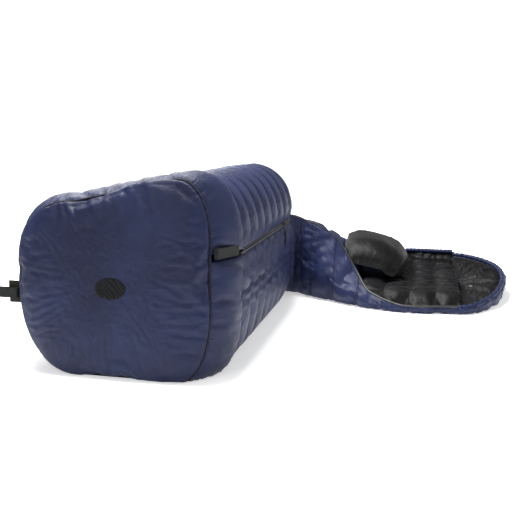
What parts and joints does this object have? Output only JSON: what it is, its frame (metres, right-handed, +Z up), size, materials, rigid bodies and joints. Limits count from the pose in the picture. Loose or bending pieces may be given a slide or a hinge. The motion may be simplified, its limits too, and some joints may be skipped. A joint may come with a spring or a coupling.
{
  "type": "mummy sleeping bag",
  "caption": "Padded mummy sleeping bag with a round zipped leg tube, turned a quarter and lying open at the head end, with a folded-back cover, hood and webbing loops.",
  "frame": {"origin": "on the flat underside, below the middle of the foot seam", "axes": "+X from the foot along the leg tube towards the head, +Z up, the zip on the -Y side and the open end along -Y"},
  "size_m": [1.4718, 1.301, 0.463],
  "materials": {
    "shell_fabric": "satin ripstop nylon",
    "lining_fabric": "matt polyester taffeta",
    "insulation": "loose synthetic wadding",
    "webbing": "woven polyester webbing",
    "zip_tape": "woven tape",
    "zip_coil": "moulded nylon coil",
    "zip_metal": "black painted die casting",
    "thread": "satin stitch thread",
    "label": "soft woven label",
    "eyelet_metal": "blackened steel"
  },
  "bodies": {
    "bag": {"lower_shell_floor": "shell_fabric", "lower_shell_near": "shell_fabric", "lower_shell_far": "shell_fabric", "lower_fill_leg_near": "insulation", "lower_fill_leg_floor": "insulation", "lower_fill_leg_far": "insulation", "lower_fill_bend_near": "insulation", "lower_fill_bend_floor": "insulation", "lower_fill_bend_far": "insulation", "lower_fill_torso_near": "insulation", "lower_fill_torso_floor": "insulation", "lower_fill_torso_far": "insulation", "lower_lining": "lining_fabric", "upper_shell": "shell_fabric", "upper_fill_leg_near": "insulation", "upper_fill_leg_top": "insulation", "upper_fill_leg_far": "insulation", "upper_fill_bend_near": "insulation", "upper_fill_bend_top": "insulation", "upper_fill_bend_far": "insulation", "upper_fill_torso_near": "insulation", "upper_fill_torso_top": "insulation", "upper_fill_torso_far": "insulation", "upper_lining": "lining_fabric", "foot_panel_shell": "shell_fabric", "foot_panel_fill": "insulation", "foot_panel_lining": "lining_fabric", "foot_emblem": "thread", "zip_tape_lower": "zip_tape", "zip_coil_lower": "zip_coil", "zip_tape_upper": "zip_tape", "zip_coil_upper": "zip_coil", "zip_foot_stop": "zip_coil", "draft_tube_shell": "lining_fabric", "draft_tube_fill": "insulation", "care_label": "label"},
    "cover": {"cover_shell": "shell_fabric", "cover_fill": "insulation", "cover_lining": "lining_fabric", "cover_zip_tape": "zip_tape"},
    "hood": {"hood_shell": "shell_fabric", "hood_fill": "insulation", "hood_lining": "lining_fabric", "hood_rim": "shell_fabric", "hood_eyelets": "eyelet_metal"},
    "slider": {"zip_slider": "zip_metal"},
    "pull": {"zip_pull": "zip_metal", "zip_pull_tag": "webbing"},
    "far_loop": {"loop_far": "webbing", "loop_far_tack": "thread"},
    "near_loop": {"loop_near": "webbing", "loop_near_tack": "thread"}
  },
  "joints": [
    {"name": "cover_fold", "type": "hinge", "parent": "bag", "child": "cover", "pos_m": [1.15, -0.6, 0.138], "axis": [1, 0, 0], "range_deg": [0, 165]},
    {"name": "hood_lift", "type": "hinge", "parent": "bag", "child": "hood", "pos_m": [1.059, -0.81, 0.09], "axis": [-1, 0, 0], "range_deg": [0, 60]},
    {"name": "zip_travel", "type": "slide", "parent": "bag", "child": "slider", "axis": [1, 0, 0], "range_m": [-0.48, 0]},
    {"name": "pull_swing", "type": "hinge", "parent": "slider", "child": "pull", "pos_m": [0.64, -0.2729, 0.286], "axis": [-1, 0, 0], "range_deg": [0, 160]},
    {"name": "far_loop_swing", "type": "hinge", "parent": "bag", "child": "far_loop", "pos_m": [-0.006, 0.262, 0.185], "axis": [0, 0, 1], "range_deg": [0, 80]},
    {"name": "near_loop_swing", "type": "hinge", "parent": "bag", "child": "near_loop", "pos_m": [0.0066, -0.236, 0.297], "axis": [0, 0, -1], "range_deg": [0, 130]}
  ]
}
